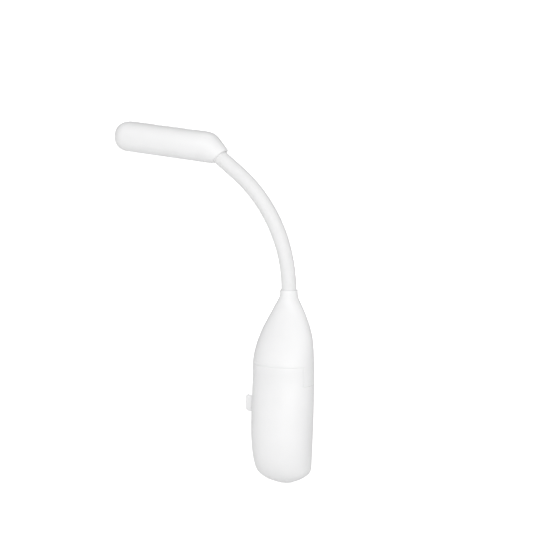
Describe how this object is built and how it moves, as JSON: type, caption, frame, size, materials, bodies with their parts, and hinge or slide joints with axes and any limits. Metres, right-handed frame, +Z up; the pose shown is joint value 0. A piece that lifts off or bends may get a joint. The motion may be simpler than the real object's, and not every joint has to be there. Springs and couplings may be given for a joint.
{
  "type": "clip-on reading lamp",
  "caption": "Clip-on reading lamp: rounded battery body with a spring clip behind, a bendable gooseneck and a slim LED bar head.",
  "frame": {"origin": "middle of the clip's grip, in the plane half way between the body pad and the jaw pad with the clip closed", "axes": "+Z up along the body, +Y out of the body's back through the clip's jaw, the neck and head bend to -X, and the switch is on the -X flank"},
  "size_m": [0.0985, 0.0327, 0.1544],
  "materials": {
    "white_shell": "white moulded ABS, smooth semi-gloss",
    "white_knob": "white moulded ABS, slightly brighter, semi-gloss",
    "neck_sleeve": "smooth white silicone sleeve, satin",
    "grip_rubber": "pale grey ribbed rubber, matte",
    "steel": "plated steel, satin",
    "nickel": "nickel-plated spring steel",
    "cell_jacket": "plain blue-grey sleeved dry cell, no print",
    "board_green": "green solder mask on glass-epoxy board",
    "board_white": "white solder mask on aluminium-core board",
    "ferrite": "dark ferrite with copper winding",
    "chip_black": "black moulded epoxy",
    "capacitor_tan": "tan ceramic with tinned ends",
    "frosted_lens": "frosted clear polycarbonate",
    "diffuser": "milky diffusing film",
    "led_phosphor": "yellow phosphor in a white LED package",
    "lead_red": "red PVC insulation",
    "lead_black": "black PVC insulation"
  },
  "bodies": {
    "body": {"rear_housing": "white_shell", "front_housing": "white_shell", "battery_1": "cell_jacket", "battery_2": "cell_jacket", "jumper_contact": "nickel", "negative_contact": "nickel", "positive_contact": "nickel", "main_circuit_board": "board_green", "boost_inductor": "ferrite", "driver_chip": "chip_black", "capacitor": "capacitor_tan", "switch_leaf": "nickel", "housing_screw_1": "steel", "housing_screw_2": "steel", "body_lead_red": "lead_red", "body_lead_black": "lead_black", "neck_collar": "white_shell", "neck_anchor": "neck_sleeve", "body_fork": "steel", "clip_pin": "steel", "body_pad": "grip_rubber"},
    "cover": {"battery_cover": "white_shell"},
    "switch": {"switch_knob": "white_knob"},
    "clip": {"clip_jaw": "white_shell", "jaw_pad": "grip_rubber", "clip_spring": "steel"},
    "link_1": {"neck_link_1": "neck_sleeve"},
    "link_2": {"neck_link_2": "neck_sleeve"},
    "link_3": {"neck_link_3": "neck_sleeve"},
    "link_4": {"neck_link_4": "neck_sleeve"},
    "link_5": {"neck_link_5": "neck_sleeve"},
    "link_6": {"neck_link_6": "neck_sleeve"},
    "link_7": {"neck_link_7": "neck_sleeve"},
    "head": {"neck_end": "neck_sleeve", "head_fork": "steel", "head_shell": "white_shell", "lens_frame": "white_shell", "lens": "frosted_lens", "diffuser_film": "diffuser", "led_board": "board_white", "led_1": "led_phosphor", "led_2": "led_phosphor", "led_3": "led_phosphor", "led_4": "led_phosphor", "led_5": "led_phosphor", "led_6": "led_phosphor", "head_screw_1": "steel", "head_screw_2": "steel", "head_lead_red": "lead_red", "head_lead_black": "lead_black"}
  },
  "joints": [
    {"name": "cover_slide", "type": "slide", "parent": "body", "child": "cover", "axis": [0, 0, -1], "range_m": [0, 0.056]},
    {"name": "switch_slide", "type": "slide", "parent": "body", "child": "switch", "axis": [0, 0, -1], "range_m": [0, 0.003]},
    {"name": "clip_hinge", "type": "hinge", "parent": "body", "child": "clip", "pos_m": [0, 0.0014, 0.029], "axis": [1, 0, 0], "range_deg": [0, 16], "stiffness_Nm_per_rad": 0.15, "springref_deg": -34.38, "deforming": ["clip_spring"]},
    {"name": "neck_bend_1", "type": "hinge", "parent": "body", "child": "link_1", "pos_m": [0, -0.0068, 0.0755], "axis": [0, -1, 0], "range_deg": [-38, 20]},
    {"name": "neck_sway_2", "type": "hinge", "parent": "link_1", "child": "link_2", "pos_m": [-0.00102, -0.0068, 0.08394], "axis": [0.9822, 0, 0.1876], "range_deg": [-28, 28]},
    {"name": "neck_bend_3", "type": "hinge", "parent": "link_2", "child": "link_3", "pos_m": [-0.00318, -0.0068, 0.09216], "axis": [0, -1, 0], "range_deg": [-38, 20]},
    {"name": "neck_sway_4", "type": "hinge", "parent": "link_3", "child": "link_4", "pos_m": [-0.00645, -0.0068, 0.10001], "axis": [0.8948, 0, 0.4465], "range_deg": [-28, 28]},
    {"name": "neck_bend_5", "type": "hinge", "parent": "link_4", "child": "link_5", "pos_m": [-0.01076, -0.0068, 0.10733], "axis": [0, -1, 0], "range_deg": [-38, 20]},
    {"name": "neck_sway_6", "type": "hinge", "parent": "link_5", "child": "link_6", "pos_m": [-0.01602, -0.0068, 0.114], "axis": [0.7404, 0, 0.6721], "range_deg": [-28, 28]},
    {"name": "neck_bend_7", "type": "hinge", "parent": "link_6", "child": "link_7", "pos_m": [-0.02215, -0.0068, 0.11989], "axis": [0, -1, 0], "range_deg": [-38, 20]},
    {"name": "neck_sway_8", "type": "hinge", "parent": "link_7", "child": "head", "pos_m": [-0.02903, -0.0068, 0.12489], "axis": [0.5947, 0, 0.8039], "range_deg": [-28, 28]}
  ]
}
